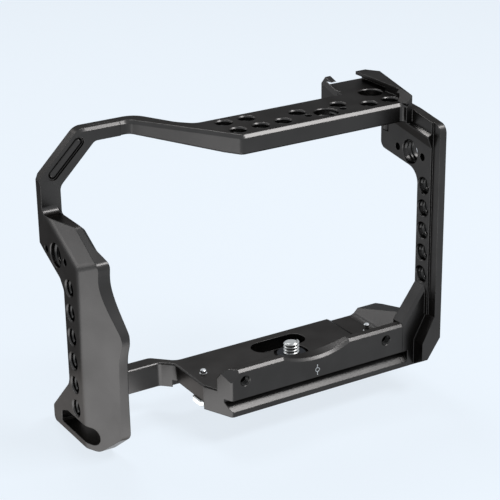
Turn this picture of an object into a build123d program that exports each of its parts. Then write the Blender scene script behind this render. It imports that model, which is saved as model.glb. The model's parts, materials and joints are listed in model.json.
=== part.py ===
from build123d import *
import os
from math import sqrt

os.makedirs("parts", exist_ok=True)

# Camera cage. Millimetres. X runs across the camera, -Y is the lens side, +Z is up.
# The origin is on the axis of the camera screw, on the seat that the camera stands on.

# ---------------------------------------------------------------- driving dimensions
# Ring
window_height = 89.2      # seat to the underside of the top plate
top_thickness = 7.6
base_thickness = 10.1
port_inner_x = 51.6       # inner face of the wall beside the camera's sockets
port_outer_x = 55.5
port_back_x = 58.6          # the port wall is thicker behind its front flange
grip_outer_x = -88.6      # outer face of the hand-grip wall
grip_wall = 8.2
plate_front_y = -5.5
plate_rear_y = 17.8
arm_rear_y = 40.9
arm_depth = 5.7           # front to rear thickness of the arm that meets the grip wall
edge_break = 0.6          # small chamfer on handled edges
bright_edge = 1.2         # wide chamfer on the front edges

# Threads and pin holes of the accessory patterns
quarter_r = 3.175         # 1/4"-20
quarter_rim_r = 3.7
three_eighths_r = 4.7625  # 3/8"-16
three_eighths_rim_r = 5.1
pin_hole_r = 1.5
pin_hole_spacing = 16.2
hole_pitch = 10.0

# Cold shoe
shoe_x = 46.6
shoe_slot_width = 18.6
shoe_gap_width = 12.5
shoe_slot_height = 2.05
shoe_lip = 1.35
shoe_front_y = 17.8
shoe_rear_y = 32.6
shoe_left_x = 36.0
shoe_bottom_rise = 1.8    # underside of the shoe block above the underside of the plate

# Base and its dovetail
dovetail_half_width = 19.0
dovetail_strip = 2.0      # height of the dovetail's foot
dovetail_depth = 3.7        # how far the grooves above the foot reach in
dovetail_groove_top = -3.2
lip_height = 9.0
lip_depth = 3.8
lip_foot_depth = 6.5
scoop_half_chord = 15.2
scoop_depth = 3.4
base_left_x = -44.5
bar_clear = 1.3           # from the dovetail's rear edge to the bar
bar_width = 6.6
joint_x = 41.2            # plane where the base meets the port plate
step_down = 1.5           # the seat's right end lies lower
step_x = 29.5
slot_half_length = 12.2
slot_y = 10.0
slot_r = 4.9
slot_depth = 5.4
screw_recess_r = 7.0
screw_recess_depth = 3.05
head_recess_depth = 3.5

# Camera screw and what it carries
screw_r = 3.175
screw_pitch = 1.27
screw_rise = 4.5          # how far the clamped screw stands above the seat
screw_travel = 2.0
screw_hole_r = 3.25
head_r = 5.0
head_thickness = 3.0
neck_r = 2.4
clip_thickness = 0.8
clip_r = 5.8
clip_mouth = 3.6          # opening through which the clip snaps on the neck
running_gap = 0.1

# Screws and pins of the frame's joints
m2_r, m25_r, m3_r, m4_r = 1.0, 1.25, 1.5, 2.0
thread_gap = 0.05         # between a modelled screw and its plain hole
pass_gap = 0.2            # clearance hole round a screw
seat_pin_r = 1.2
seat_pin_x = 39.0
seat_pin_y = 3.0
seat_pin_top = 1.5
seat_stub_r = 1.5         # stouter stub that holds the pin in the base
seat_stub = 2.5
dowel_r = 1.5
dowel_length = 12.0

# Screwdriver that is stored under the base
driver_width = 8.0
driver_thickness = 2.4
driver_length = 36.0
driver_y = -2.0
driver_gap = 0.3
magnet_r = 2.5
magnet_height = 1.5

# ---------------------------------------------------------------- worked out from them
plate_bottom = window_height
plate_top = window_height + top_thickness
shoe_top = plate_top + shoe_slot_height + shoe_lip
base_bottom = -base_thickness
arm_front_y = arm_rear_y - arm_depth
grip_inner_x = grip_outer_x + grip_wall
dovetail_neck_y = dovetail_half_width - dovetail_depth
bar_front_y = dovetail_half_width + bar_clear
bar_rear_y = bar_front_y + bar_width


# ---------------------------------------------------------------- helpers
def outline(plane, points, rounds):
    """Closed face on a plane; rounds gives the radius of each rounded corner by its index."""
    with BuildSketch(plane) as profile:
        with BuildLine():
            Polyline(*points, close=True)
        make_face()
        for index, radius in rounds.items():
            fillet(profile.vertices().sort_by_distance(Vector(*points[index]))[0], radius)
    return profile.sketch


def slab_xy(points, low, high, rounds={}, mode=Mode.ADD):
    """Plan outline between two heights."""
    extrude(outline(Plane.XY.offset(low), points, rounds), amount=high - low, mode=mode)


def slab_xz(points, front, rear, rounds={}, mode=Mode.ADD):
    """Outline seen from the front, between two depths."""
    extrude(outline(Plane.XZ.offset(-front), points, rounds), amount=front - rear, mode=mode)


def slab_yz(points, left, right, rounds={}, mode=Mode.ADD):
    """Outline seen from the side, between two X planes."""
    extrude(outline(Plane.YZ.offset(left), points, rounds), amount=right - left, mode=mode)


def rimmed_holes(plane, points, radius, rim, depth):
    """Bores with a 45 degree rim at both faces of a plate; the plane lies on one face."""
    far = Plane(plane.origin - plane.z_dir * depth, x_dir=plane.x_dir, z_dir=-plane.z_dir)
    for face, side in ((plane, 1), (far, -1)):
        with Locations(face):
            with Locations(*[(x, side * y) for x, y in points]):
                CounterSinkHole(radius, rim, depth=depth, counter_sink_angle=90)


def plain_holes(plane, points, radius, depth):
    with Locations(plane):
        with Locations(*points):
            Hole(radius, depth=depth)


def save(builder, name):
    builder.part.label = name
    export_step(builder.part, f"parts/{name}.step")


# ---------------------------------------------------------------- top plate
arm_root = (-24.5, plate_front_y)         # where the slanting arm leaves the front edge
arm_corner = (-50.5, arm_front_y)         # where it turns to the grip side
arm_rear_root = (-31.3, plate_rear_y)
arm_rear_bend = (-36.6, 23.5)
arm_rear_corner = (-45.6, arm_rear_y)
lap_right_x = -54.0                       # the two halves of the arm overlap between these
lap_left_x = -66.0
lap_y = arm_front_y + 2.8
arm_height = 5.5
arm_bottom = plate_top - arm_height
boss_x = 48.7                             # the plate's port end stands forward from here
boss_front_y = plate_front_y - 2.5
boss_right_x = 51.4
boss_cove = 1.6
shoe_right = (61.1, 27.2)                 # the shoe's outer side leans outwards to here
shoe_right_rear_x = 57.6
rail_start_y = 2.6                        # the right rail is bevelled in front of here
lean = (shoe_right[0] - boss_right_x) / (shoe_right[1] - boss_front_y)
shoe_gap_left = shoe_x - shoe_gap_width / 2
shoe_gap_right = shoe_x + shoe_gap_width / 2
shoe_slot_left = shoe_x - shoe_slot_width / 2
shoe_slot_right = shoe_x + shoe_slot_width / 2
shoe_slot_front_y = 12.0
ramp_front_y = 21.5                       # the short left rail rises from here to the rear
ramp_edge = 1.9

quarter_top = [(-21.9, 1.9), (-11.9, 1.9), (-1.9, 1.9), (37.9, 1.9), (47.9, 1.9),
               (8.1, 7.8), (27.1, 7.8), (-21.9, 12.4), (-11.9, 12.4)]
big_top = (17.6, 1.9)
recess_xy = (47.0, 13.8)
recess_r = three_eighths_r
recess_depth = 3.0
shelf_left_x = 37.0                       # the port plate's shelf under the plate starts here
top_screw_x = (shelf_left_x + 4.0, port_inner_x - 2.6)
top_screw_y = 9.5
top_screw_depth = 3.2                     # thread length inside the top plate
arm_screw_inset = 3.0
arm_screw_x = (lap_left_x + arm_screw_inset, lap_right_x - arm_screw_inset)
arm_screw_z = plate_top - arm_height / 2
arm_screw_depth = 2.0                     # thread length inside the front half
arm_sunk_r = 2.2
top_sunk_r = 3.2

top_face = Plane.XY.offset(plate_top)

with BuildPart() as top_plate:
    slab_xy([(boss_x, plate_front_y), arm_root, arm_corner, (lap_right_x, arm_front_y),
             (lap_right_x, lap_y), (lap_left_x, lap_y), (lap_left_x, arm_rear_y), arm_rear_corner,
             arm_rear_bend, arm_rear_root, (shoe_left_x, plate_rear_y), (port_outer_x, plate_rear_y),
             (port_outer_x, boss_front_y + (port_outer_x - boss_right_x) / lean),
             (boss_right_x, boss_front_y), (boss_x, boss_front_y)],
            plate_bottom, plate_top, {0: boss_cove, 1: 3.0, 2: 3.0, 7: 8.0, 8: 14.0, 9: 6.0})
    # the arm gets thinner from below towards its corner
    along = Vector(arm_corner[0] - arm_root[0], arm_corner[1] - arm_root[1], 0).normalized()
    arm_length = sqrt((arm_corner[0] - arm_root[0]) ** 2 + (arm_corner[1] - arm_root[1]) ** 2)
    arm_plane = Plane((arm_root[0], arm_root[1], plate_bottom), x_dir=along,
                      z_dir=along.cross(Vector(0, 0, 1)))
    taper = top_thickness - arm_height
    extrude(outline(arm_plane.offset(-20), [(8, -1), (8, 0), (arm_length, taper),
                                            (arm_length + 40, taper), (arm_length + 40, -1)], {}),
            amount=60, mode=Mode.SUBTRACT)
    # wide chamfer along the front edge, from the port end to the arm's corner
    def on_front(edge):
        x, y = edge.center().X, edge.center().Y
        off_arm = (x - arm_root[0]) * along.Y - (y - arm_root[1]) * along.X
        return abs(y - plate_front_y) < 0.1 or (abs(off_arm) < 1.0 and y < arm_front_y - 1)
    top_edges = top_plate.edges().filter_by_position(Axis.Z, plate_top, plate_top)
    chamfer(top_edges.filter_by(on_front), bright_edge)
    low_edges = top_plate.edges().filter_by_position(Axis.Z, plate_bottom - 0.1, arm_bottom + 0.1)
    chamfer(low_edges.filter_by(on_front), edge_break)
    # block behind the plate that carries the shoe, and the shoe's two rails
    slab_xy([(shoe_left_x, plate_rear_y - 1), (port_outer_x, plate_rear_y - 1),
             (port_outer_x, boss_front_y + (port_outer_x - boss_right_x) / lean), shoe_right,
             (shoe_right_rear_x, shoe_rear_y), (shoe_left_x, shoe_rear_y)],
            plate_bottom + shoe_bottom_rise, plate_top)
    slab_xy([(boss_x, boss_front_y), (boss_right_x, boss_front_y), shoe_right,
             (shoe_right_rear_x, shoe_rear_y), (shoe_gap_right, shoe_rear_y),
             (shoe_gap_right, rail_start_y), (boss_x, rail_start_y)], plate_top, shoe_top)
    # in front of the slot the rail falls to the plate at 45 degrees, clear of the last hole's rim
    rail_rise = shoe_top - plate_top
    rail_run = Vector(shoe_gap_right - boss_right_x, rail_start_y - boss_front_y, 0)
    extrude(outline(Plane.XZ.offset(-boss_front_y + 1),
                    [(boss_right_x, shoe_top), (boss_right_x - rail_rise, plate_top),
                     (boss_right_x - 2 * rail_rise, plate_top), (boss_right_x - 2 * rail_rise, shoe_top + 1),
                     (boss_right_x, shoe_top + 1)], {}),
            amount=rail_run.length + 3, dir=rail_run.normalized(), mode=Mode.SUBTRACT)
    last_quarter = max(quarter_top)
    with BuildSketch(top_face):
        with Locations(last_quarter):
            Circle(quarter_rim_r)
    extrude(amount=rail_rise + 1, mode=Mode.SUBTRACT)
    slab_yz([(ramp_front_y, plate_top), (shoe_rear_y, plate_top), (shoe_rear_y, shoe_top)],
            shoe_left_x, shoe_gap_left)
    ramp = Vector(0, ramp_front_y - shoe_rear_y, plate_top - shoe_top)
    extrude(outline(Plane.XZ.offset(-shoe_rear_y - 1),
                    [(shoe_left_x - 1, shoe_top - ramp_edge - 1), (shoe_left_x, shoe_top - ramp_edge),
                     (shoe_left_x + ramp_edge, shoe_top + 0.3), (shoe_left_x - 1, shoe_top + 1)], {}),
            amount=13, dir=ramp.normalized(), mode=Mode.SUBTRACT)
    slab_xz([(shoe_slot_left, plate_top), (shoe_slot_right, plate_top),
             (shoe_slot_right, plate_top + shoe_slot_height),
             (shoe_slot_left, plate_top + shoe_slot_height)],
            shoe_slot_front_y, shoe_rear_y + 1, mode=Mode.SUBTRACT)
    # holes
    rimmed_holes(top_face, quarter_top, quarter_r, quarter_rim_r, top_thickness)
    rimmed_holes(top_face, [big_top], three_eighths_r, three_eighths_rim_r, top_thickness)
    plain_holes(top_face, [(big_top[0] - pin_hole_spacing / 2, big_top[1]),
                           (big_top[0] + pin_hole_spacing / 2, big_top[1])], pin_hole_r, top_thickness)
    with Locations(top_face):
        with Locations(recess_xy):
            CounterSinkHole(recess_r, three_eighths_rim_r, depth=recess_depth, counter_sink_angle=90)
    plain_holes(Plane.XY.offset(plate_bottom + top_screw_depth + 0.4),
                [(x, top_screw_y) for x in top_screw_x], m3_r + thread_gap, top_screw_depth + 0.4)
    # arm screws come in from the rear, with sunk heads
    arm_rear = Plane((0, arm_rear_y, 0), x_dir=(-1, 0, 0), z_dir=(0, 1, 0))
    with Locations(arm_rear):
        with Locations(*[(-x, arm_screw_z) for x in arm_screw_x]):
            CounterSinkHole(m2_r + pass_gap, arm_sunk_r, depth=arm_depth, counter_sink_angle=90)
save(top_plate, "top_plate")

# ---------------------------------------------------------------- port plate
flange_front_y = -24.9
flange_inner_x = port_inner_x + 0.9
pad_front_y = -20.6
column_rear_y = -12.3
port_bottom = -6.0
port_rear_y = 12.5
top_slope = 0.17                          # the port plate's top falls towards the front
port_top = plate_top - 2.3                # its height at the front of the top plate
corner_round = 3.8
strip_rear_y = -2.0                       # its top runs back beside the boss to here
pad_low_rear = plate_bottom - 15.2        # lower edge of the pad that carries the large hole
pad_low_front = plate_bottom - 18.7
back_low = 16.0                           # the thick part of the wall ends above the foot
port_chin = 11.4                          # the wall starts to lean inwards below here
foot_inner_x = 46.8
outer_chin = 2.0
gusset_edge = 1.0                         # chamfer along the front web's slanting edge
foot_outer_x = 49.9
haunch_rise = 5.2
haunch_reach = 1.8
ledge_drop = 0.5          # the ledge on the haunch, in front of the plate, leans to the inside
shelf_thickness = 4.0
shelf_front_y = 6.0
gusset_top = 23.2
web_rear_rise = 8.4
web_rear_low = 0.8
web_start = 1.8                           # from the base joint to the foot of the rear web
web_round = 4.0
port_hole_y = -16.1
port_hole_top = plate_bottom - 24.0
port_hole_pitch = 9.42
port_big = (-6.9, plate_bottom - 12.4)
joint_screw_y = 7.5
joint_screw_z = -4.8
joint_head_r = 2.75
joint_head_height = 3.0
joint_grip = 4.2                          # port plate between the screw head and the base
joint_reach = 8.0                         # the head's recess is open to the outside over this length
joint_screw_length = 16.0
dowel_y = 13.0
dowel_z = -6.3
groove_end_x = 43.6

joint_face = Plane((joint_x, 0, 0), x_dir=(0, 1, 0), z_dir=(1, 0, 0))
head_face = joint_face.offset(joint_grip + joint_head_height)


def foot_outline(inner):
    """Outer underside of the foot, closed by the points of the inner side."""
    return [(port_outer_x, outer_chin), (foot_outer_x, port_bottom), (foot_inner_x, base_bottom)] + inner

with BuildPart() as port_plate:
    # front flange
    slab_xz([(flange_inner_x, port_top + 1), (flange_inner_x, port_chin), (foot_inner_x, 1.0),
             (foot_inner_x, base_bottom), (foot_outer_x, port_bottom), (port_outer_x, outer_chin),
             (port_outer_x, port_top + 1)], flange_front_y, -dovetail_half_width)
    # its lower end rises to the front from the bottom of the foot
    slab_yz([(-dovetail_half_width, base_bottom), (flange_front_y - 1, port_bottom), (flange_front_y - 1, base_bottom - 1),
             (-dovetail_half_width, base_bottom - 1)], foot_inner_x - 1, port_outer_x, mode=Mode.SUBTRACT)
    # wall with its wide pad, whose lower edge slants down to the front column
    slab_yz([(pad_front_y, gusset_top - 12), (pad_front_y, port_top + 1), (boss_front_y, port_top + 1),
             (boss_front_y, plate_bottom), (port_rear_y, plate_bottom), (port_rear_y, pad_low_rear),
             (column_rear_y, pad_low_front), (column_rear_y, gusset_top - 12)],
            port_inner_x, port_outer_x, {5: 3.0, 6: 6.5})
    slab_yz([(pad_front_y, back_low), (pad_front_y, plate_bottom), (port_rear_y, plate_bottom),
             (port_rear_y, pad_low_rear), (column_rear_y, pad_low_front), (column_rear_y, back_low)],
            port_outer_x, port_back_x, {1: 6.0, 3: 3.0, 4: 6.5})
    back_foot = port_plate.edges().filter_by(Axis.Y).sort_by_distance(
        (port_back_x, (pad_front_y + column_rear_y) / 2, back_low))[0]
    chamfer(back_foot, port_back_x - port_outer_x - 0.1)
    # haunch below the top plate, which falls towards the front like the wall's top
    haunch_foot = (port_inner_x, plate_bottom - haunch_rise)
    haunch_edge = (port_inner_x - haunch_reach, plate_bottom - 0.8)
    haunch_line = [(port_inner_x + 1, haunch_foot[1] - 1), haunch_foot, haunch_edge]
    extrude(outline(Plane.XZ.offset(-boss_front_y), haunch_line + [(haunch_edge[0], plate_bottom),
                                                                  (port_inner_x + 1, plate_bottom)], {}),
            amount=(port_rear_y - boss_front_y) * sqrt(1 + top_slope ** 2),
            dir=Vector(0, 1, top_slope).normalized())
    slab_xy([(haunch_edge[0] - 1, boss_front_y), (port_outer_x, boss_front_y), (port_outer_x, port_rear_y + 1),
             (haunch_edge[0] - 1, port_rear_y + 1)], plate_bottom, plate_top, mode=Mode.SUBTRACT)
    # its ledge in front of the plate leans to the inside
    extrude(outline(Plane.XZ.offset(-boss_front_y),
                    haunch_line + [(haunch_edge[0], plate_bottom - ledge_drop + 0.2),
                                   (port_inner_x, plate_bottom + ledge_drop),
                                   (port_inner_x + 1, plate_bottom + ledge_drop)], {}),
            amount=(boss_front_y - pad_front_y) * sqrt(1 + top_slope ** 2),
            dir=Vector(0, -1, -top_slope).normalized())
    # the strip on top of the wall, beside the boss of the top plate
    slab_xy([(boss_right_x, boss_front_y), (boss_right_x + lean * (strip_rear_y - boss_front_y), strip_rear_y),
             (port_outer_x, strip_rear_y), (port_outer_x, boss_front_y)], plate_bottom, port_top + 1)
    # the top falls towards the front and turns down round the flange
    corner_z = port_top - (boss_front_y - flange_front_y) * top_slope
    slab_yz([(flange_front_y - 1, corner_z - top_slope), (boss_front_y, port_top),
             (strip_rear_y + 1, port_top + 0.6), (strip_rear_y + 1, port_top + 2),
             (flange_front_y - 1, port_top + 2)], boss_x - 5, port_outer_x + 1, mode=Mode.SUBTRACT)
    top_corner = port_plate.edges().filter_by(Axis.X).sort_by_distance((port_outer_x, flange_front_y, corner_z))[0]
    fillet(top_corner, corner_round)
    # shelf that the top plate's port end is screwed to
    slab_xy([(shelf_left_x, shelf_front_y), (port_inner_x + 1, shelf_front_y),
             (port_inner_x + 1, port_rear_y), (shelf_left_x, port_rear_y)],
            plate_bottom - shelf_thickness, plate_bottom, {0: 1.5, 3: 1.5})
    # foot: the front web, then the lower rear web
    slab_xz(foot_outline([(joint_x, base_bottom), (joint_x, lip_height), (port_inner_x, gusset_top),
                          (port_outer_x, gusset_top)]), -dovetail_half_width, column_rear_y)
    slab_xz(foot_outline([(joint_x, base_bottom), (joint_x, -step_down), (joint_x + web_start, -step_down),
                          (port_inner_x + 2, 9.1), (port_outer_x, 9.1)]),
            column_rear_y, dovetail_half_width, {5: web_round})
    slab_yz([(column_rear_y, web_rear_rise), (dovetail_half_width + 1, web_rear_low),
             (dovetail_half_width + 1, 12), (column_rear_y, 12)],
            joint_x, port_outer_x + 1, mode=Mode.SUBTRACT)
    web_edge = port_plate.edges().sort_by_distance(
        ((joint_x + port_inner_x) / 2, -dovetail_half_width, (lip_height + gusset_top) / 2))[0]
    chamfer(web_edge, gusset_edge)
    # dovetail runs out in the foot
    for side in (-1, 1):
        slab_yz([(side * (dovetail_half_width + 1), dovetail_groove_top),
                 (side * dovetail_neck_y, dovetail_groove_top),
                 (side * dovetail_neck_y, base_bottom + dovetail_strip
                  + dovetail_half_width - dovetail_neck_y),
                 (side * dovetail_half_width, base_bottom + dovetail_strip),
                 (side * (dovetail_half_width + 1), base_bottom + dovetail_strip)],
                joint_x, groove_end_x, mode=Mode.SUBTRACT)
    # accessory holes go through the column and the pad
    inner_face = Plane((port_inner_x, 0, 0), x_dir=(0, -1, 0), z_dir=(-1, 0, 0))
    rimmed_holes(inner_face, [(-port_hole_y, port_hole_top - i * port_hole_pitch) for i in range(5)],
                 quarter_r, quarter_rim_r, port_back_x - port_inner_x)
    rimmed_holes(inner_face, [(-port_big[0], port_big[1])], three_eighths_r, three_eighths_rim_r,
                 port_back_x - port_inner_x)
    plain_holes(inner_face, [(-port_big[0] - pin_hole_spacing / 2, port_big[1]),
                             (-port_big[0] + pin_hole_spacing / 2, port_big[1])],
                pin_hole_r, port_back_x - port_inner_x)
    # joints to the top plate and to the base
    with Locations(Plane((0, 0, plate_bottom - shelf_thickness), x_dir=(1, 0, 0), z_dir=(0, 0, -1))):
        with Locations(*[(x, -top_screw_y) for x in top_screw_x]):
            CounterSinkHole(m3_r + pass_gap, top_sunk_r, depth=shelf_thickness, counter_sink_angle=90)
    with Locations(joint_face.offset(joint_grip + joint_reach)):
        with Locations((-joint_screw_y, joint_screw_z), (joint_screw_y, joint_screw_z)):
            CounterBoreHole(m3_r + pass_gap, joint_head_r + pass_gap, joint_reach,
                            depth=joint_grip + joint_reach)
    plain_holes(joint_face.offset(dowel_length / 2), [(y, dowel_z) for y in (-dowel_y, dowel_y)],
                dowel_r + 0.02, dowel_length / 2)
save(port_plate, "port_plate")

# ---------------------------------------------------------------- base plate
base_front_left_x = -39.0
base_left_front_y = -6.6                  # the left end is cut off slantwise in front of here
base_left_rear_y = 15.5
bar_split = -base_thickness / 2           # the bar's halves meet here
bar_lap_x = -67.0
lip_corner = 4.8                          # slanting cut across the lip's grip-side top corner
lip_round = 1.5
rim_edge = 0.5                            # chamfer along the seat's grip-side rim
scoop_r = (scoop_half_chord ** 2 + scoop_depth ** 2) / (2 * scoop_depth)
lip_edge = 1.1
mark_r = 1.05
mark_line = 0.4
mark_height = 4.6
mark_depth = 0.2
lip_screw_x = 33.0
lip_screw_z = 4.0
lip_screw_depth = 5.0
rear_groove_left_x = -36.0

channel_width = driver_width + 2 * driver_gap
channel_depth = driver_thickness + 0.6
channel_left_x = base_left_x
driver_left_x = base_left_x - 0.9
driver_right_x = driver_left_x + driver_length
channel_right_x = driver_right_x + driver_gap
relief_right_x = -36.0
relief_rear_y = 17.9
magnet_x = (-30.0, -16.0)

bar_screw_inset = 3.2
bar_screw_x = (grip_inner_x + bar_screw_inset, bar_lap_x - bar_screw_inset)
bar_screw_y = (bar_front_y + bar_rear_y) / 2
bar_head_r = 2.2
bar_head_height = 2.4
bar_head_sink = 0.2
bar_screw_length = 6.0
base_below = Plane((0, 0, base_bottom), x_dir=(1, 0, 0), z_dir=(0, 0, -1))


def dovetail_groove(left, right, side):
    """Groove above one edge of the dovetail; side is -1 at the front and 1 at the rear."""
    outer = side * (dovetail_half_width + 1)
    foot_top = base_bottom + dovetail_strip
    slab_yz([(outer, dovetail_groove_top), (side * dovetail_neck_y, dovetail_groove_top),
             (side * dovetail_neck_y, foot_top + dovetail_half_width - dovetail_neck_y),
             (side * dovetail_half_width, foot_top), (outer, foot_top)], left, right, mode=Mode.SUBTRACT)


with BuildPart() as base_plate:
    slab_xy([(base_front_left_x, -dovetail_half_width), (joint_x, -dovetail_half_width),
             (joint_x, dovetail_half_width), (-42.4, dovetail_half_width),
             (-42.4 - (bar_rear_y - dovetail_half_width), bar_rear_y), (grip_inner_x, bar_rear_y),
             (grip_inner_x, bar_front_y),
             (base_left_x - (bar_front_y - base_left_rear_y), bar_front_y),
             (base_left_x, base_left_rear_y), (base_left_x, base_left_front_y)],
            base_bottom, 0, {3: 5.0, 4: 4.0, 7: 2.5, 8: 3.0, 9: 2.0})
    # front lip with its shallow scoop
    slab_yz([(-dovetail_half_width, -1), (-dovetail_half_width, lip_height),
             (-dovetail_half_width + lip_depth, lip_height), (-dovetail_half_width + lip_foot_depth, 5.0),
             (-dovetail_half_width + lip_foot_depth, -1)], base_left_x, joint_x)
    # its grip-side end is flush with the slanting end of the base, and its top corner is cut off
    slab_xy([(base_front_left_x, -dovetail_half_width - 1), (base_front_left_x, -dovetail_half_width),
             (base_left_x, base_left_front_y), (base_left_x - 1, base_left_front_y),
             (base_left_x - 1, -dovetail_half_width - 1)], base_bottom, lip_height + 1, mode=Mode.SUBTRACT)
    with BuildSketch(Plane.XZ.offset(dovetail_half_width + 1)):
        with Locations((0, lip_height - scoop_depth + scoop_r)):
            Circle(scoop_r)
    extrude(amount=-lip_foot_depth - 2, mode=Mode.SUBTRACT)
    lip_front = base_plate.edges().filter_by(lambda e: abs(e.center().Y + dovetail_half_width) < 0.01
                                             and e.center().Z > lip_height - scoop_depth - 0.1)
    chamfer(lip_front, lip_edge)
    fillet(base_plate.edges().filter_by(Axis.Z).filter_by(
        lambda e: abs(e.center().X - base_front_left_x) + abs(e.center().Y + dovetail_half_width) < 0.01), lip_round)
    corner_cut = Plane((base_front_left_x, -dovetail_half_width, lip_height - lip_corner),
                       x_dir=(1, -1, 0), z_dir=(-1, -1, 0.88))
    with BuildSketch(corner_cut):
        Rectangle(6 * lip_corner, 4 * lip_corner)
    extrude(amount=2 * lip_corner, mode=Mode.SUBTRACT)
    seat_rim = base_plate.edges().filter_by_position(Axis.Z, -0.01, 0.01).filter_by(
        lambda e: e.center().X < base_front_left_x - 0.5 and e.center().Y < bar_front_y + 0.01
        and e.center().Y > lip_depth - dovetail_half_width + 0.01)
    chamfer(seat_rim, rim_edge)
    # dovetail
    dovetail_groove(base_left_x - 1, joint_x, -1)
    dovetail_groove(rear_groove_left_x, joint_x, 1)
    # seat: lower right end, slot-shaped pocket, recess and hole of the camera screw
    slab_xz([(step_x, 0), (step_x + 2.5, -step_down), (joint_x, -step_down), (joint_x, 1),
             (step_x, 1)], -dovetail_half_width + lip_foot_depth, dovetail_half_width,
            mode=Mode.SUBTRACT)
    with BuildSketch(Plane.XY):
        with Locations((0, slot_y)):
            SlotOverall(2 * slot_half_length, 2 * slot_r)
    extrude(amount=-slot_depth, mode=Mode.SUBTRACT)
    plain_holes(Plane.XY, [(0, 0)], screw_recess_r, screw_recess_depth)
    with Locations(base_below):
        CounterBoreHole(screw_hole_r, head_r + 0.3, head_recess_depth, depth=base_thickness)
    plain_holes(Plane.XY, [(-seat_pin_x, seat_pin_y)], seat_stub_r + thread_gap, seat_stub)
    plain_holes(Plane.XY.offset(-step_down), [(seat_pin_x, seat_pin_y)], seat_stub_r + thread_gap, seat_stub)
    # screwdriver's channel, the finger relief at its open end and the magnets above it
    slab_xy([(channel_left_x - 1, driver_y - channel_width / 2), (channel_right_x, driver_y - channel_width / 2),
             (channel_right_x, driver_y + channel_width / 2), (channel_left_x - 1, driver_y + channel_width / 2)],
            base_bottom - 1, base_bottom + channel_depth, {1: 1.0, 2: 1.0}, mode=Mode.SUBTRACT)
    slab_xy([(channel_left_x - 1, base_left_front_y), (relief_right_x, base_left_front_y),
             (relief_right_x, relief_rear_y), (channel_left_x - 1, relief_rear_y)],
            base_bottom - 1, base_bottom + channel_depth, {1: 2.0, 2: 2.0}, mode=Mode.SUBTRACT)
    plain_holes(base_below.offset(-channel_depth), [(x, -driver_y) for x in magnet_x],
                magnet_r + thread_gap, magnet_height)
    # joint to the port plate
    plain_holes(joint_face, [(y, joint_screw_z) for y in (-joint_screw_y, joint_screw_y)],
                m3_r + thread_gap, joint_screw_length - joint_grip + 0.5)
    plain_holes(joint_face, [(y, dowel_z) for y in (-dowel_y, dowel_y)], dowel_r + 0.02, dowel_length / 2)
    # lower half of the bar gives way to the grip plate's lug
    slab_xy([(grip_inner_x - 1, bar_front_y - 1), (bar_lap_x, bar_front_y - 1), (bar_lap_x, bar_rear_y + 1),
             (grip_inner_x - 1, bar_rear_y + 1)], base_bottom - 1, bar_split, mode=Mode.SUBTRACT)
    plain_holes(base_below.offset(bar_split - base_bottom).offset(-2 * (bar_split - base_bottom)),
                [(x, -bar_screw_y) for x in bar_screw_x], m25_r + thread_gap,
                bar_screw_length - (bar_split - base_bottom - bar_head_height - bar_head_sink) + 0.3)
    # threaded holes in the front of the lip
    with Locations(Plane.XZ.offset(dovetail_half_width)):
        with Locations((-lip_screw_x, lip_screw_z), (lip_screw_x, lip_screw_z)):
            CounterSinkHole(m4_r, m4_r + 0.3, depth=lip_screw_depth, counter_sink_angle=90)
    # engraved mark of the lens axis: a ring with a stroke above and below it
    with BuildSketch(Plane.XZ.offset(dovetail_half_width)):
        Circle(mark_r)
        Rectangle(mark_line, mark_height)
        Circle(mark_r - mark_line, mode=Mode.SUBTRACT)
    extrude(amount=-mark_depth, mode=Mode.SUBTRACT)
save(base_plate, "base_plate")

# ---------------------------------------------------------------- grip plate
grip_bottom = -20.5
grip_top = 69.5
wall_top = 66.6                           # top of the wall in front of the arm
arm_inner_z = plate_top - 20.8            # the arm's underside meets the wall here
arm_outer_z = plate_top - 17.5            # and its top edge meets the wall's outer face here
grip_front_y = -11.0
curl_x = -76.65                           # the front edge curls in to here
grip_rim = [(-1.7, 52.6), (-3.7, 43.2), (-8.7, 33.7), (-10.4, 29.5), (-9.4, 24.0), (-8.6, 16.0), (-8.4, 4.0),
            (-8.5, -11.9)]
grip_hole_y = 14.9
grip_hole_top = 43.4
grip_big = (25.2, 53.2)
bevel = Plane((grip_outer_x, 7.6, 54.2), x_dir=(0, 0.443, 0.231), z_dir=(-0.866, -0.231, 0.443))
soft_round = 6.0
inner_edge = 1.6
edge_wide = 1.1                           # front edge of the arm
rear_bevel = 1.6
arm_pocket = (-77.35, plate_top - 10.45)  # shallow slot in the front of the arm
pocket_turn = 44.5
pocket_length = 15.8                      # between the centres of its round ends
pocket_width = 4.2
pocket_depth = 1.2
pad_width = 2.8                           # raised bar inside the pocket
pad_sink = 0.25
pad_edge = 0.7

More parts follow.
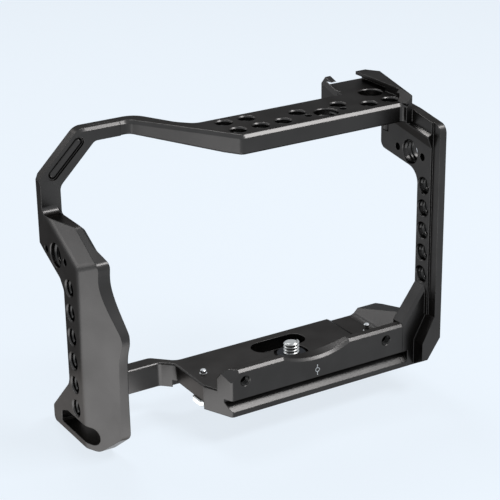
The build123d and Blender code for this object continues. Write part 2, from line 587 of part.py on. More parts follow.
with BuildPart() as grip_plate:
    # the outer face, the front bevel and the upper bevel run into each other softly
    slab_xy([(grip_outer_x, 60.0), (grip_outer_x, 7.3), (grip_outer_x + 14.5, 7.3 - 14.5 * 2.145),
             (-60.0, 7.3 - 14.5 * 2.145), (-60.0, 60.0)], grip_bottom - 20, grip_top + 20)
    split(bisect_by=bevel, keep=Keep.BOTTOM)
    meeting = grip_plate.vertices().sort_by_distance(bevel.origin)[0].center()
    fillet(grip_plate.edges().filter_by(lambda e: min((e @ 0 - meeting).length,
                                                      (e @ 1 - meeting).length) < 0.01), soft_round)
    slab_xy([(grip_outer_x - 5, arm_rear_y), (grip_outer_x - 5, grip_front_y), (curl_x, grip_front_y),
             (grip_inner_x, 1.5), (grip_inner_x, arm_rear_y)], grip_bottom - 30, grip_top + 30, {2: 0.8},
            mode=Mode.INTERSECT)
    with BuildSketch(Plane.YZ.offset(grip_outer_x - 1)) as grip_side:
        with BuildLine():
            rim_line = Spline(*grip_rim)
            Polyline(rim_line @ 1, (1.5, grip_bottom), (36.0, grip_bottom), (36.0, -14.0), (19.6, 2.5),
                     (19.6, 41.0), (22.5, 45.0), (35.8, 51.8), (arm_rear_y, 54.8), (arm_rear_y, grip_top),
                     (arm_front_y, grip_top), (arm_front_y, wall_top), (15.5, wall_top),
                     (-2.0, 56.9), rim_line @ 0)
        make_face()
        for corner, radius in (((19.6, 2.5), 6.0), ((19.6, 41.0), 3.0), ((22.5, 45.0), 3.0),
                               ((35.8, 51.8), 3.0), ((15.5, wall_top), 5.0), ((-2.0, 56.9), 3.0),
                               ((arm_front_y, wall_top), 2.6),
                               ((36.0, -14.0), 2.0), ((36.0, grip_bottom), 2.0), ((1.5, grip_bottom), 5.0),
                               ((-8.5, -11.9), 4.0)):
            fillet(grip_side.vertices().sort_by_distance(Vector(*corner))[0], radius)
    extrude(amount=grip_wall + 6, mode=Mode.INTERSECT)
    inner_top = grip_plate.edges().filter_by(lambda e: abs(e.center().X - grip_inner_x) < 0.01
                                             and e.center().Z > 58 and e.center().Y < arm_front_y + 0.2)
    chamfer(inner_top, inner_edge)
    # arm that rises to meet the top plate, half as deep over the lap
    slab_xz([(grip_outer_x, wall_top - 6), (grip_inner_x, wall_top - 6), (grip_inner_x, arm_inner_z),
             (grip_inner_x + arm_bottom - arm_inner_z, arm_bottom), (lap_right_x, arm_bottom),
             (lap_right_x, plate_top), (grip_outer_x + plate_top - arm_outer_z, plate_top),
             (grip_outer_x, arm_outer_z)], arm_front_y, arm_rear_y, {2: 4.0, 3: 3.0, 6: 6.0})
    arm_front = grip_plate.edges().filter_by_position(Axis.Y, arm_front_y - 0.01, arm_front_y + 0.01)
    chamfer(arm_front.filter_by(lambda e: e.center().Z > arm_outer_z - 0.3 and (
        e.center().Z > plate_top - 1.0 or e.center().X < arm_pocket[0])), edge_wide)
    rear_edge = grip_plate.edges().filter_by(Axis.Z).sort_by_distance((grip_outer_x, arm_rear_y, 66))[0]
    chamfer(rear_edge, rear_bevel)
    slab_xy([(lap_left_x, lap_y), (lap_right_x + 1, lap_y), (lap_right_x + 1, arm_rear_y + 1),
             (lap_left_x, arm_rear_y + 1)], arm_bottom - 3, plate_top + 1, mode=Mode.SUBTRACT)
    with BuildSketch(Plane.XZ.offset(-arm_front_y)):
        with Locations(Location(arm_pocket, pocket_turn)):
            SlotCenterToCenter(pocket_length, pocket_width)
    extrude(amount=-pocket_depth, mode=Mode.SUBTRACT)
    with BuildSketch(Plane.XZ.offset(-arm_front_y - pocket_depth)):
        with Locations(Location(arm_pocket, pocket_turn)):
            SlotCenterToCenter(pocket_length, pad_width)
    extrude(amount=pocket_depth - pad_sink)
    pad_top = grip_plate.faces().filter_by(Axis.Y).filter_by_position(
        Axis.Y, arm_front_y + pad_sink - 0.01, arm_front_y + pad_sink + 0.01)
    chamfer(pad_top.edges(), pad_edge)
    arm_rear = Plane((0, lap_y, 0), x_dir=(-1, 0, 0), z_dir=(0, 1, 0))
    plain_holes(arm_rear, [(-x, arm_screw_z) for x in arm_screw_x], m2_r + thread_gap, arm_screw_depth + 0.2)
    # lug that carries the base's bar, its screws come up from below
    slab_xy([(grip_inner_x - 1, bar_front_y), (bar_lap_x, bar_front_y), (bar_lap_x, bar_rear_y),
             (grip_inner_x - 1, bar_rear_y)], base_bottom, bar_split)
    with Locations(base_below):
        with Locations(*[(x, -bar_screw_y) for x in bar_screw_x]):
            CounterBoreHole(m25_r + pass_gap, bar_head_r + pass_gap, bar_head_height + bar_head_sink,
                            depth=base_thickness / 2)
    # strap slot
    slab_yz([(1.0, -18.2), (1.0, -11.0), (22.8, -11.0), (28.6, -13.4), (29.0, -17.5), (28.0, -18.2)],
            grip_outer_x - 1, curl_x + 1, {0: 3.5, 1: 3.5, 2: 3.0, 3: 1.5}, mode=Mode.SUBTRACT)
    # accessory holes
    outer_face = Plane((grip_outer_x, 0, 0), x_dir=(0, -1, 0), z_dir=(-1, 0, 0))
    rimmed_holes(outer_face, [(-grip_hole_y, grip_hole_top - i * hole_pitch) for i in range(6)],
                 quarter_r, quarter_rim_r, grip_wall)
    rimmed_holes(outer_face, [(-grip_big[0], grip_big[1])], three_eighths_r, three_eighths_rim_r, grip_wall)
    plain_holes(outer_face, [(-grip_big[0] - pin_hole_spacing / 2, grip_big[1]),
                             (-grip_big[0] + pin_hole_spacing / 2, grip_big[1])], pin_hole_r, grip_wall)
save(grip_plate, "grip_plate")

# ---------------------------------------------------------------- camera screw and its clip
screw_top = screw_rise
groove_top = -0.15
groove_bottom = groove_top - clip_thickness - 0.1
head_top = base_bottom + head_recess_depth - running_gap
head_bottom = head_top - head_thickness
tip_edge = 0.6
driver_slot_width = 1.4
driver_slot_depth = 1.3
hex_key_r = 2.0

with BuildPart() as camera_screw:
    with BuildSketch(Plane.XZ):
        with BuildLine():
            Polyline((0, screw_top), (screw_r - tip_edge, screw_top), (screw_r, screw_top - tip_edge),
                     (screw_r, groove_top), (neck_r, groove_top), (neck_r, groove_bottom),
                     (screw_r, groove_bottom), (screw_r, head_top), (head_r, head_top),
                     (head_r, head_bottom + 0.4), (head_r - 0.4, head_bottom), (0, head_bottom), close=True)
        make_face()
    revolve(axis=Axis.Z)
    with BuildSketch(Plane.XY.offset(head_bottom)):
        Rectangle(2 * head_r + 1, driver_slot_width)
        RegularPolygon(hex_key_r, 6)
    extrude(amount=driver_slot_depth, mode=Mode.SUBTRACT)
save(camera_screw, "camera_screw")

with BuildPart() as screw_clip:
    with BuildSketch(Plane.XY.offset((groove_top + groove_bottom - clip_thickness) / 2)):
        Circle(clip_r)
        Circle(neck_r + running_gap, mode=Mode.SUBTRACT)
        with Locations((0, -clip_r)):
            Rectangle(clip_mouth, 2 * clip_r, mode=Mode.SUBTRACT)
    extrude(amount=clip_thickness)
save(screw_clip, "screw_clip")

# ---------------------------------------------------------------- pins, magnets and screwdriver
with BuildPart() as locating_pins:
    for x, foot in ((-seat_pin_x, 0.0), (seat_pin_x, -step_down)):
        with BuildSketch(Plane.XY.offset(foot)):
            with Locations((x, seat_pin_y)):
                Circle(seat_pin_r)
        extrude(amount=seat_pin_top - foot)
        with BuildSketch(Plane.XY.offset(foot)):
            with Locations((x, seat_pin_y)):
                Circle(seat_stub_r)
        extrude(amount=-seat_stub)
    chamfer(locating_pins.faces().filter_by(Axis.Z).filter_by_position(
        Axis.Z, seat_pin_top - 0.01, seat_pin_top + 0.01).edges(), 0.3)
save(locating_pins, "locating_pins")

with BuildPart() as driver_magnets:
    with BuildSketch(Plane.XY.offset(base_bottom + channel_depth + 0.1)):
        with Locations(*[(x, driver_y) for x in magnet_x]):
            Circle(magnet_r)
    extrude(amount=magnet_height - 0.1)
save(driver_magnets, "driver_magnets")

driver_top = base_bottom + channel_depth - 0.05
blade_width = 5.5
blade_tip = 1.0
blade_left_x = driver_right_x - 13.0
blade_shoulder = 2.5
with BuildPart() as screwdriver:
    slab_xy([(driver_left_x, driver_y - driver_width / 2),
             (blade_left_x - blade_shoulder, driver_y - driver_width / 2),
             (blade_left_x, driver_y - blade_width / 2), (driver_right_x, driver_y - blade_width / 2),
             (driver_right_x, driver_y + blade_width / 2), (blade_left_x, driver_y + blade_width / 2),
             (blade_left_x - blade_shoulder, driver_y + driver_width / 2),
             (driver_left_x, driver_y + driver_width / 2)],
            driver_top - driver_thickness, driver_top, {0: 2.0, 7: 2.0})
    for side in (-1, 1):
        middle = driver_top - driver_thickness / 2
        slab_xz([(blade_left_x + 2, middle + side * driver_thickness / 2),
                 (driver_right_x + 1, middle + side * blade_tip / 2),
                 (driver_right_x + 1, middle + side * driver_thickness),
                 (blade_left_x + 2, middle + side * driver_thickness)],
                driver_y - driver_width / 2, driver_y + driver_width / 2, mode=Mode.SUBTRACT)
    chamfer(screwdriver.edges().filter_by_position(Axis.X, driver_left_x - 0.01, driver_left_x + 0.01)
            .filter_by(Axis.Y), 0.4)
save(screwdriver, "screwdriver")


# ---------------------------------------------------------------- screws and dowels of the joints
def hex_sockets(plane, points, radius, depth):
    with BuildSketch(plane) as sockets:
        with Locations(*points):
            RegularPolygon(radius, 6)
    extrude(sockets.sketch, amount=-depth, mode=Mode.SUBTRACT)


def shanks(plane, points, radius, length):
    with BuildSketch(plane) as rounds:
        with Locations(*points):
            Circle(radius)
    extrude(rounds.sketch, amount=-length)


def cap_screws(plane, points, radius, wide, height, length):
    """Cylinder head screws; the plane lies on the outer end of their heads."""
    shanks(plane, points, wide, height)
    shanks(plane.offset(-height + 0.01), points, radius, length + 0.01)
    hex_sockets(plane, points, wide * 0.5, height * 0.5)


def sunk_screws(plane, points, radius, wide, length):
    """Countersunk screws; the plane lies on their flat heads."""
    with Locations(plane):
        with Locations(*points):
            Cone(radius, wide, wide - radius, align=(Align.CENTER, Align.CENTER, Align.MAX))
    shanks(plane, points, radius, length)
    hex_sockets(plane, points, radius * 0.9, (wide - radius) * 0.8)


with BuildPart() as top_joint_screws:
    cap = Plane((0, 0, plate_bottom - shelf_thickness), x_dir=(1, 0, 0), z_dir=(0, 0, -1))
    sunk_screws(cap, [(x, -top_screw_y) for x in top_screw_x], m3_r, top_sunk_r - 0.2,
                shelf_thickness + top_screw_depth)
save(top_joint_screws, "top_joint_screws")

with BuildPart() as arm_joint_screws:
    cap = Plane((0, arm_rear_y, 0), x_dir=(-1, 0, 0), z_dir=(0, 1, 0))
    sunk_screws(cap, [(-x, arm_screw_z) for x in arm_screw_x], m2_r, arm_sunk_r - 0.2,
                arm_rear_y - lap_y + arm_screw_depth)
save(arm_joint_screws, "arm_joint_screws")

with BuildPart() as base_joint_screws:
    cap_screws(head_face, [(y, joint_screw_z) for y in (-joint_screw_y, joint_screw_y)], m3_r,
               joint_head_r, joint_head_height, joint_screw_length)
save(base_joint_screws, "base_joint_screws")

with BuildPart() as grip_joint_screws:
    cap_screws(base_below.offset(-bar_head_sink), [(x, -bar_screw_y) for x in bar_screw_x], m25_r,
               bar_head_r, bar_head_height, bar_screw_length)
save(grip_joint_screws, "grip_joint_screws")

with BuildPart() as base_joint_dowels:
    shanks(joint_face.offset(dowel_length / 2), [(y, dowel_z) for y in (-dowel_y, dowel_y)],
           dowel_r, dowel_length)
save(base_joint_dowels, "base_joint_dowels")
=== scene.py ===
import json
import math

import bpy
from mathutils import Matrix, Vector

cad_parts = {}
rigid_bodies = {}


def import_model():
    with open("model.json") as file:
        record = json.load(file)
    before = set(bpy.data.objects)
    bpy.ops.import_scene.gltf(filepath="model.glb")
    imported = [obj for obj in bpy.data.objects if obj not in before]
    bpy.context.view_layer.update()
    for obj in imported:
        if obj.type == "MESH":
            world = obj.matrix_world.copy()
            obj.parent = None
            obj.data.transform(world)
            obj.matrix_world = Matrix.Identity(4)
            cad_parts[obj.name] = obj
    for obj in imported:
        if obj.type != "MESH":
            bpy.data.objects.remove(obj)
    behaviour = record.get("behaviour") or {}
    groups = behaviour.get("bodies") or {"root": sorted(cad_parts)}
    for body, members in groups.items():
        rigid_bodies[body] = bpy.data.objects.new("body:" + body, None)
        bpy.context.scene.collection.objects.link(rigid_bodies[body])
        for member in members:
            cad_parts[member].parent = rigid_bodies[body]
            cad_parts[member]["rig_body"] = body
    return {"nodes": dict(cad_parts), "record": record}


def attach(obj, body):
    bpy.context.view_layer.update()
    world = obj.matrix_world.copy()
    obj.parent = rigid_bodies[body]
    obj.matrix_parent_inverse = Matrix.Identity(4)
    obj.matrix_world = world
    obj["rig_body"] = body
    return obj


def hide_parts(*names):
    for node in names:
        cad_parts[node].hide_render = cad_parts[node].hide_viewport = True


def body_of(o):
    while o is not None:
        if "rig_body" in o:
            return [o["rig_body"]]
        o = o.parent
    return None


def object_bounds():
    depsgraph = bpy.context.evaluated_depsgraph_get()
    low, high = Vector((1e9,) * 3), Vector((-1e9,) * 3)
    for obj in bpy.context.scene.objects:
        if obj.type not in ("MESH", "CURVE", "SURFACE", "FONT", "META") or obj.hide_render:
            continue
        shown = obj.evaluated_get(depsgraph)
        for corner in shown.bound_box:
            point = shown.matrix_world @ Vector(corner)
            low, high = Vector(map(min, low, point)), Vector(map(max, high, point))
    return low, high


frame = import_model()
cad_low, cad_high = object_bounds()

MM = 0.001
NODES = frame["nodes"]
MOUNTS = frame["record"]["mounts"]


# ---------------------------------------------------------------- helpers
def deselect():
    bpy.ops.object.select_all(action="DESELECT")


def do_maths(tree, operation, first, second):
    """Adds a Math node whose inputs are numbers or sockets, and gives its output."""
    step = tree.nodes.new("ShaderNodeMath")
    step.operation = operation
    for place, value in enumerate((first, second)):
        if isinstance(value, (int, float)):
            step.inputs[place].default_value = value
        else:
            tree.links.new(value, step.inputs[place])
    return step.outputs[0]


def do_vector_maths(tree, operation, first, second=None):
    """Adds a Vector Math node whose second input may be a triple, a socket or nothing."""
    step = tree.nodes.new("ShaderNodeVectorMath")
    step.operation = operation
    tree.links.new(first, step.inputs[0])
    if isinstance(second, tuple):
        step.inputs[1].default_value = second
    elif second is not None:
        tree.links.new(second, step.inputs[1])
    return step


# ---------------------------------------------------------------- camera
YAW = math.radians(31.13)
DROP = math.radians(22.10)
ROLL = math.radians(-0.88)
EYE = Vector((-318.5, -496.5, 283.8)) * MM
LENS_MM = 117.3
SENSOR_MM = 36


def make_camera():
    look = Vector((math.sin(YAW) * math.cos(DROP), math.cos(YAW) * math.cos(DROP), -math.sin(DROP)))
    side = Vector((math.cos(YAW), -math.sin(YAW), 0))
    lift = side.cross(look)
    right = math.cos(ROLL) * side + math.sin(ROLL) * lift
    up = -math.sin(ROLL) * side + math.cos(ROLL) * lift
    data = bpy.data.cameras.new("studio_camera")
    data.lens = LENS_MM
    data.sensor_width = SENSOR_MM
    camera = bpy.data.objects.new("studio_camera", data)
    bpy.context.scene.collection.objects.link(camera)
    turn = Matrix((right, up, -look)).transposed().to_4x4()
    camera.matrix_world = Matrix.Translation(EYE) @ turn
    bpy.context.scene.camera = camera


make_camera()

# ---------------------------------------------------------------- studio
PALE = (0.846, 0.913, 0.982, 1)
SILVER = (0.92, 0.96, 1.0)
WORLD_COLOUR = (0.95, 0.97, 1, 1)
WORLD_STRENGTH = 0.2
FLOOR_SIZE = 30
FLOOR_GAP = 0.0004       # below the lowest point of the part
TABLE_GAP = 0.0002       # light tables lie just above the floor
FLOOR_PALE_SHARE = 0.86  # the rest of what the camera sees of the floor takes shadows

MIDDLE = Vector((-0.013, 0.008, 0.045))
SOFTBOXES = {
    # name: (direction from the object, distance, width, height, brightness of its face)
    "front_top": ((0.44, -0.36, 0.80), 0.9, 0.42, 0.28, 16.5),
    "rear_top": ((0.12, 0.52, 0.845), 0.9, 0.26, 0.26, 14),
    "rear_left": ((-0.30, 0.80, 0.52), 1.0, 0.20, 0.20, 4),
    "left_side": ((-0.85, 0.50, 0.10), 0.9, 0.30, 0.30, 3.2),
}
LIGHT_TABLES = {
    # name: (middle, width, depth, brightness), lying on the floor and shining up
    "left_table": ((-0.22, -0.03), 0.34, 0.2, 2.35),
}


def add_softbox(name, place, aim, wide, high, bright):
    """Rectangular lamp that reflections show but the camera doesn't."""
    data = bpy.data.lights.new(name, "AREA")
    data.shape = "RECTANGLE"
    data.size, data.size_y = wide, high
    data.energy = bright * math.pi * wide * high
    data.color = SILVER
    lamp = bpy.data.objects.new(name, data)
    lamp.location = place
    lamp.visible_camera = False
    lamp.rotation_mode = "QUATERNION"
    lamp.rotation_quaternion = (aim - place).to_track_quat("-Z", "Y")
    bpy.context.scene.collection.objects.link(lamp)


def make_lamps():
    for name, (way, far, wide, high, bright) in SOFTBOXES.items():
        add_softbox(name, MIDDLE + Vector(way).normalized() * far, MIDDLE, wide, high, bright)
    for name, (middle, wide, deep, bright) in LIGHT_TABLES.items():
        spot = Vector((*middle, cad_low.z - TABLE_GAP))
        add_softbox(name, spot, spot + Vector((0, 0, 1)), wide, deep, bright)


def pale_to_the_camera(tree, lit, glow_kind, share):
    """Shows the pale colour to the camera and to reflections, and lights everything else plainly."""
    path = tree.nodes.new("ShaderNodeLightPath")
    mirrored = do_maths(tree, "MAXIMUM", path.outputs["Is Glossy Ray"], path.outputs["Is Transmission Ray"])
    either = do_maths(tree, "MAXIMUM", path.outputs["Is Camera Ray"], mirrored)
    glow = tree.nodes.new(glow_kind)
    glow.inputs["Color"].default_value = PALE
    mix = tree.nodes.new("ShaderNodeMixShader")
    tree.links.new(do_maths(tree, "MULTIPLY", either, share), mix.inputs[0])
    tree.links.new(lit.outputs[0], mix.inputs[1])
    tree.links.new(glow.outputs[0], mix.inputs[2])
    return mix.outputs[0]


def make_world():
    world = bpy.data.worlds.new("studio_world")
    bpy.context.scene.world = world
    world.use_nodes = True
    tree = world.node_tree
    tree.nodes.clear()
    lit = tree.nodes.new("ShaderNodeBackground")
    lit.inputs["Color"].default_value = WORLD_COLOUR
    lit.inputs["Strength"].default_value = WORLD_STRENGTH
    out = tree.nodes.new("ShaderNodeOutputWorld")
    tree.links.new(pale_to_the_camera(tree, lit, "ShaderNodeBackground", 1.0), out.inputs["Surface"])


def make_floor():
    deselect()
    bpy.ops.mesh.primitive_plane_add(size=FLOOR_SIZE, location=(0, 0, cad_low.z - FLOOR_GAP))
    floor = bpy.context.active_object
    floor.name = "studio_floor"
    paint = bpy.data.materials.new("studio_floor")
    paint.use_nodes = True
    tree = paint.node_tree
    tree.nodes.clear()
    lit = tree.nodes.new("ShaderNodeBsdfDiffuse")
    lit.inputs["Color"].default_value = PALE
    out = tree.nodes.new("ShaderNodeOutputMaterial")
    pale = pale_to_the_camera(tree, lit, "ShaderNodeEmission", FLOOR_PALE_SHARE)
    tree.links.new(pale, out.inputs["Surface"])
    floor.data.materials.append(paint)


make_world()
make_floor()
make_lamps()
bpy.context.scene.view_settings.view_transform = "Standard"

# ---------------------------------------------------------------- finishes
CLOUD_SCALE, CLOUD_DETAIL, GRAIN_DETAIL = 70, 5, 3
CLOUD_LOW, CLOUD_HIGH = 0.3, 0.7   # where the clouds reach the darkest and the lightest colour
COLOUR_SPREAD = 0.1
GRAIN_STRENGTH = 0.3
RING_PITCH, RING_DEPTH, RING_STRENGTH = 0.00012, 0.000004, 0.25
EDGE_SAMPLES = 8


def node_group(name, inputs, outputs):
    group = bpy.data.node_groups.new(name, "ShaderNodeTree")
    for label, kind, value in inputs:
        socket = group.interface.new_socket(label, in_out="INPUT", socket_type=kind)
        socket.default_value = value
    for label, kind in outputs:
        group.interface.new_socket(label, in_out="OUTPUT", socket_type=kind)
    return group, group.nodes.new("NodeGroupInput"), group.nodes.new("NodeGroupOutput")


def blasted_grain():
    """Bead-blasted skin: fine dimples, a cloud for the colour, and a small change of the roughness."""
    group, given, made = node_group(
        "blasted_grain",
        [("Scale", "NodeSocketFloat", 3000.0), ("Spread", "NodeSocketFloat", 0.05)],
        [("Height", "NodeSocketFloat"), ("Variation", "NodeSocketFloat"), ("Cloud", "NodeSocketFloat")])
    place = group.nodes.new("ShaderNodeTexCoord")
    fine = group.nodes.new("ShaderNodeTexNoise")
    fine.inputs["Detail"].default_value = GRAIN_DETAIL
    broad = group.nodes.new("ShaderNodeTexNoise")
    broad.inputs["Scale"].default_value = CLOUD_SCALE
    broad.inputs["Detail"].default_value = CLOUD_DETAIL
    for noise in (fine, broad):
        group.links.new(place.outputs["Object"], noise.inputs["Vector"])
    group.links.new(given.outputs["Scale"], fine.inputs["Scale"])
    group.links.new(fine.outputs["Fac"], made.inputs["Height"])
    centred = do_maths(group, "SUBTRACT", broad.outputs["Fac"], 0.5)
    varied = do_maths(group, "MULTIPLY", centred, given.outputs["Spread"])
    group.links.new(varied, made.inputs["Variation"])
    group.links.new(broad.outputs["Fac"], made.inputs["Cloud"])
    return group


def turned_rings():
    """Fine grooves of a lathe round the Z axis through a centre, as a height."""
    group, given, made = node_group(
        "turned_rings",
        [("Centre", "NodeSocketVector", (0, 0, 0)), ("Pitch", "NodeSocketFloat", RING_PITCH)],
        [("Height", "NodeSocketFloat")])
    place = group.nodes.new("ShaderNodeTexCoord")
    off = do_vector_maths(group, "SUBTRACT", place.outputs["Object"], given.outputs["Centre"])
    flat = do_vector_maths(group, "MULTIPLY", off.outputs[0], (1, 1, 0))
    far = do_vector_maths(group, "LENGTH", flat.outputs[0])
    turns = do_maths(group, "DIVIDE", far.outputs["Value"], given.outputs["Pitch"])
    group.links.new(do_maths(group, "SINE", turns, 0.0), made.inputs["Height"])
    return group


GRAIN = blasted_grain()
RINGS = turned_rings()


def new_paint(name):
    paint = bpy.data.materials.new(name)
    paint.use_nodes = True
    tree = paint.node_tree
    grain = tree.nodes.new("ShaderNodeGroup")
    grain.node_tree = GRAIN
    return paint, tree, tree.nodes["Principled BSDF"], grain


def cloud_colour(tree, shader, grain, low, high, dark, light):
    """Lets the clouds of the grain lead the base colour from dark to light."""
    ramp = tree.nodes.new("ShaderNodeValToRGB")
    for stop, place, colour in zip(ramp.color_ramp.elements, (low, high), (dark, light)):
        stop.position = place
        stop.color = (*colour, 1)
    tree.links.new(grain.outputs["Cloud"], ramp.inputs["Fac"])
    tree.links.new(ramp.outputs["Color"], shader.inputs["Base Color"])


def add_bump(tree, height, strength, depth, under=None):
    bump = tree.nodes.new("ShaderNodeBump")
    bump.inputs["Strength"].default_value = strength
    bump.inputs["Distance"].default_value = depth
    tree.links.new(height, bump.inputs["Height"])
    if under is not None:
        tree.links.new(under, bump.inputs["Normal"])
    return bump.outputs["Normal"]


def metal_finish(name, colour, tint, roughness, grain_scale, grain_depth, spread, rings=None, edge=0.0):
    """Metal whose own colour clouds a little.

    Tint is how it shows at a flat angle, rings the centre of its lathe grooves, and edge the
    radius with which its edges catch the light.
    """
    paint, tree, shader, grain = new_paint(name)
    shader.inputs["Metallic"].default_value = 1.0
    shader.inputs["Specular Tint"].default_value = (tint, tint, tint, 1)
    grain.inputs["Scale"].default_value = grain_scale
    grain.inputs["Spread"].default_value = spread
    rough = do_maths(tree, "ADD", grain.outputs["Variation"], roughness)
    tree.links.new(rough, shader.inputs["Roughness"])
    cloud_colour(tree, shader, grain, CLOUD_LOW, CLOUD_HIGH,
                 [c * (1 - COLOUR_SPREAD) for c in colour], [c * (1 + COLOUR_SPREAD) for c in colour])
    rounded = None
    if edge:
        broken = tree.nodes.new("ShaderNodeBevel")
        broken.samples = EDGE_SAMPLES
        broken.inputs["Radius"].default_value = edge
        rounded = broken.outputs["Normal"]
    normal = add_bump(tree, grain.outputs["Height"], GRAIN_STRENGTH, grain_depth, rounded)
    if rings:
        lathe = tree.nodes.new("ShaderNodeGroup")
        lathe.node_tree = RINGS
        lathe.inputs["Centre"].default_value = rings
        normal = add_bump(tree, lathe.outputs["Height"], RING_STRENGTH, RING_DEPTH, normal)
    tree.links.new(normal, shader.inputs["Normal"])
    return paint


def mark_paint():
    """Matt white filling of the engraved mark."""
    paint, tree, shader, grain = new_paint("mark_paint")
    shader.inputs["Roughness"].default_value = 0.55
    cloud_colour(tree, shader, grain, 0.0, 1.0, (0.6, 0.6, 0.59), (0.8, 0.8, 0.78))
    return paint


BLACK = metal_finish("black_anodised", (0.0555, 0.0517, 0.0490), 0.37, 0.30, 5200, 0.000012, 0.08,
                     edge=0.00042)
# The threads are the plates' own anodised aluminium, coloured darker than BLACK: painted shade inside the
# holes.
THREAD_SHADED_BLACK = metal_finish("thread_anodised_painted_shade", (0.042, 0.040, 0.038), 0.37, 0.32, 5200, 0.000012, 0.08)
STEEL = metal_finish("turned_steel", (0.40, 0.39, 0.37), 1.0, 0.30, 2500, 0.000008, 0.08,
                     rings=(0, 0, 0))
PIN_STEEL = metal_finish("ground_pin_steel", (0.48, 0.47, 0.46), 1.0, 0.26, 3500, 0.000006, 0.06)
DRIVER_STEEL = metal_finish("stamped_driver_steel", (0.55, 0.54, 0.52), 1.0, 0.3, 1800, 0.00001, 0.12)
DARK_STEEL = metal_finish("black_oxide_steel", (0.022, 0.022, 0.024), 0.6, 0.34, 2600, 0.000008, 0.08)
NICKEL = metal_finish("magnet_nickel", (0.68, 0.65, 0.6), 1.0, 0.16, 1500, 0.000004, 0.05)

FINISHES = [
    (BLACK, ("top_plate", "port_plate", "base_plate", "grip_plate")),
    (STEEL, ("camera_screw",)),
    (PIN_STEEL, ("locating_pins", "base_joint_dowels")),
    (DRIVER_STEEL, ("screwdriver",)),
    (NICKEL, ("driver_magnets",)),
    (DARK_STEEL, ("screw_clip", "top_joint_screws", "base_joint_screws", "grip_joint_screws",
                  "arm_joint_screws")),
]


def put_on(piece, paint):
    piece.data.materials.clear()
    piece.data.materials.append(paint)


for paint, names in FINISHES:
    for node in names:
        put_on(NODES[node], paint)

# ---------------------------------------------------------------- shaping
MERGE_NODE, MERGE_COIL = 0.000004, 0.000001
SMOOTH_TO, RIDGE_SMOOTH_TO = math.radians(50), math.radians(35)


def edit(piece):
    deselect()
    bpy.context.view_layer.objects.active = piece
    piece.select_set(True)
    bpy.ops.object.mode_set(mode="EDIT")
    bpy.ops.mesh.select_mode(type="VERT")


def leave():
    bpy.ops.object.mode_set(mode="OBJECT")


def merge_points(within):
    bpy.ops.mesh.select_all(action="SELECT")
    bpy.ops.mesh.remove_doubles(threshold=within)


def join_into(first, others, name):
    deselect()
    for piece in (first, *others):
        piece.select_set(True)
    bpy.context.view_layer.objects.active = first
    bpy.ops.object.join()
    first.name = name
    return first


def merged_copy(node, name):
    """A node's shape as one closed skin, ready for broken edges."""
    piece = bpy.data.objects.new(name, NODES[node].data.copy())
    bpy.context.scene.collection.objects.link(piece)
    edit(piece)
    merge_points(MERGE_NODE)
    leave()
    bpy.ops.mesh.customdata_custom_splitnormals_clear()
    bpy.ops.object.shade_smooth()
    return piece


def break_edges(piece, width, angle):
    """Breaks every sharp edge with a small round, and keeps the flat faces flat."""
    edit(piece)
    bpy.ops.mesh.select_mode(type="EDGE")
    bpy.ops.mesh.select_all(action="DESELECT")
    bpy.ops.mesh.edges_select_sharp(sharpness=math.radians(angle))
    leave()
    weights = piece.data.attributes.new("bevel_weight_edge", "FLOAT", "EDGE")
    for edge in piece.data.edges:
        weights.data[edge.index].value = 1.0 if edge.select else 0.0
    bevel = piece.modifiers.new("broken_edges", "BEVEL")
    bevel.width = width
    bevel.segments = 2
    bevel.limit_method = "WEIGHT"
    bevel.use_clamp_overlap = False
    bevel.face_strength_mode = "FSTR_ALL"
    bpy.ops.object.modifier_apply(modifier=bevel.name)
    bpy.ops.object.shade_smooth_by_angle(angle=SMOOTH_TO)
    calm = piece.modifiers.new("flat_faces", "WEIGHTED_NORMAL")
    calm.keep_sharp = True
    calm.mode = "FACE_AREA"
    calm.weight = 50
    calm.use_face_influence = True
    bpy.ops.object.modifier_apply(modifier=calm.name)


def finish_piece(piece, body, paint, stands_for=None):
    """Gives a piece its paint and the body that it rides."""
    put_on(piece, paint)
    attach(piece, body)
    if stands_for:
        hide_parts(stands_for)


def body_under(node):
    return body_of(NODES[node])[0]


# ---------------------------------------------------------------- threads
# Heights of a ridge's four corners in parts of its pitch, in the order of a plane's points:
# lower root, lower crest, upper root, upper crest.
RIDGE_HEIGHTS = (0.04, 0.42, 0.96, 0.58)
ROOT_SUNK = 0.00012      # a ridge starts this far inside the wall of its hole
MOUTHS_CLEAR = 0.0012    # length of a hole that its ridge leaves free, both ends together
THREADS = {
    # radius of the hole in mm: (depth of the thread, pitch, steps in a turn)
    3.175: (0.00058, 0.00127, 28),
    4.7625: (0.0007, 0.0015875, 36),
    2.0: (0.00036, 0.0007, 20),
}
THREADED_NODES = {"top": "top_plate", "port": "port_plate", "grip": "grip_plate", "lip": "base_plate"}


def thread_ridge(name, root, crest, pitch, turns, steps):
    """One solid helical ridge round Z from height 0, from its root radius to its crest radius."""
    deselect()
    bpy.ops.mesh.primitive_plane_add(size=pitch, location=(0, 0, 0))
    ridge = bpy.context.active_object
    ridge.name = name
    for vertex, far, high in zip(ridge.data.vertices, (root, crest, root, crest), RIDGE_HEIGHTS):
        vertex.co = (far, 0, high * pitch)
    coil = ridge.modifiers.new("coil", "SCREW")
    coil.angle = 2 * math.pi * turns
    coil.screw_offset = pitch * turns
    coil.steps = coil.render_steps = round(steps * turns)
    bpy.ops.object.modifier_apply(modifier=coil.name)
    edit(ridge)
    merge_points(MERGE_COIL)
    bpy.ops.mesh.fill_holes(sides=4)
    bpy.ops.mesh.normals_make_consistent(inside=False)
    leave()
    bpy.ops.object.shade_smooth_by_angle(angle=RIDGE_SMOOTH_TO)
    return ridge


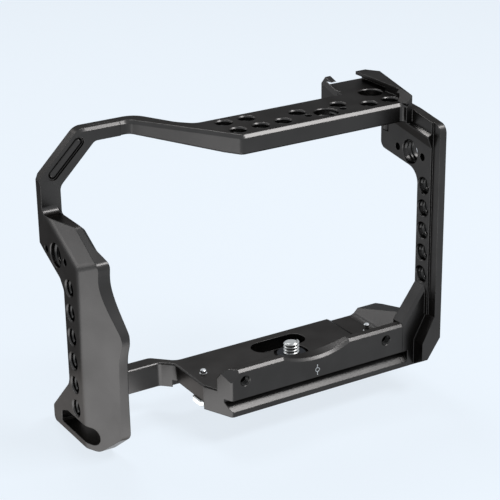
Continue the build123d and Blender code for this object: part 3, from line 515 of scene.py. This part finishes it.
def hole_thread(hole):
    """The ridge of one threaded hole, whose position is the middle of its length."""
    radius = hole["dims"]["r_mm"]
    depth, pitch, steps = THREADS[round(radius, 4)]
    length = hole["dims"]["length_mm"] * MM - MOUTHS_CLEAR
    ridge = thread_ridge(hole["name"] + "_thread", radius * MM + ROOT_SUNK, radius * MM - depth, pitch,
                         length / pitch - 1, steps)
    turn = Vector(hole["axis"]).to_track_quat("Z", "Y").to_matrix().to_4x4()
    place = Matrix.Translation(Vector(hole["pos_m"]))
    ridge.data.transform(place @ turn @ Matrix.Translation((0, 0, -length / 2)))
    return ridge


ridges = {where: [] for where in THREADED_NODES}
for mount in MOUNTS:
    if mount["kind"] == "threaded_hole":
        ridges[mount["name"].split("_")[0]].append(hole_thread(mount))
for where, node in THREADED_NODES.items():
    threads = join_into(ridges[where][0], ridges[where][1:], where + "_threads")
    finish_piece(threads, body_under(node), THREAD_SHADED_BLACK)

# ---------------------------------------------------------------- camera screw
SHANK_DRAWN_IN = [
    # (lowest and highest point, least and greatest radius, new radius): the shank, then its end
    (-0.0066, 0.0046, 0.0031, 0.0032, 0.0026),
    (0.0044, 0.0046, 0.0024, 0.0027, 0.0021),
]
SCREW_THREAD = {"root": 0.0025, "crest": 0.00315, "pitch": 0.00127, "turns": 8.0, "steps": 40}
SCREW_THREAD_LOW = -0.0063
SCREW_EDGE, SCREW_SHARP = 0.00012, 28   # width of its broken edges, degrees from which one is sharp


def shrink_round(piece, low, high, least, most, size):
    """Draws the points of a turned piece between two heights and radii in to another radius."""
    for vertex in piece.data.vertices:
        far = math.hypot(vertex.co.x, vertex.co.y)
        if low <= vertex.co.z <= high and least <= far <= most:
            vertex.co.x *= size / far
            vertex.co.y *= size / far


screw = merged_copy("camera_screw", "camera_screw_threaded")
for zone in SHANK_DRAWN_IN:
    shrink_round(screw, *zone)
break_edges(screw, SCREW_EDGE, SCREW_SHARP)
screw_thread = thread_ridge("screw_thread", **SCREW_THREAD)
screw_thread.data.transform(Matrix.Translation((0, 0, SCREW_THREAD_LOW)))
join_into(screw, [screw_thread], "camera_screw_threaded")
finish_piece(screw, body_under("camera_screw"), STEEL, "camera_screw")

# ---------------------------------------------------------------- centre mark
MARK_FACE = -0.0190      # the front of the base, which carries the mark
MARK_DEEP = 0.0002       # depth of its engraving
MARK_THICK = MARK_DEEP * 0.6
MARK_MIDDLE = MARK_FACE + MARK_THICK
MARK_LINE = 0.0004       # width of its lines
MARK_SLACK = 0.00003     # the paint stays this far inside the engraving
MARK_RING = 0.00085      # radius of the middle of the ring's line
MARK_TALL = 0.0046
RING_FLATNESS = 0.4      # thickness of the ring in parts of its width


def mark_ring():
    deselect()
    bpy.ops.mesh.primitive_torus_add(major_radius=MARK_RING, minor_radius=MARK_LINE / 2 - MARK_SLACK,
                                     major_segments=40, minor_segments=8, location=(0, 0, 0))
    ring = bpy.context.active_object
    for vertex in ring.data.vertices:
        x, y, z = vertex.co
        vertex.co = (x, MARK_MIDDLE - z * RING_FLATNESS, y)
    return ring


def mark_stroke(side):
    """The stroke above the ring or below it."""
    deselect()
    bpy.ops.mesh.primitive_cube_add(size=1, location=(0, 0, 0))
    stroke = bpy.context.active_object
    size = (MARK_LINE - 2 * MARK_SLACK, MARK_THICK, MARK_TALL / 2 - MARK_RING - MARK_SLACK)
    middle = (0, MARK_MIDDLE, side * (MARK_RING + MARK_TALL / 2) / 2)
    for vertex in stroke.data.vertices:
        vertex.co = [m + v * s for m, v, s in zip(middle, vertex.co, size)]
    return stroke


centre_mark = join_into(mark_ring(), [mark_stroke(-1), mark_stroke(1)], "centre_mark")
finish_piece(centre_mark, body_under("base_plate"), mark_paint())
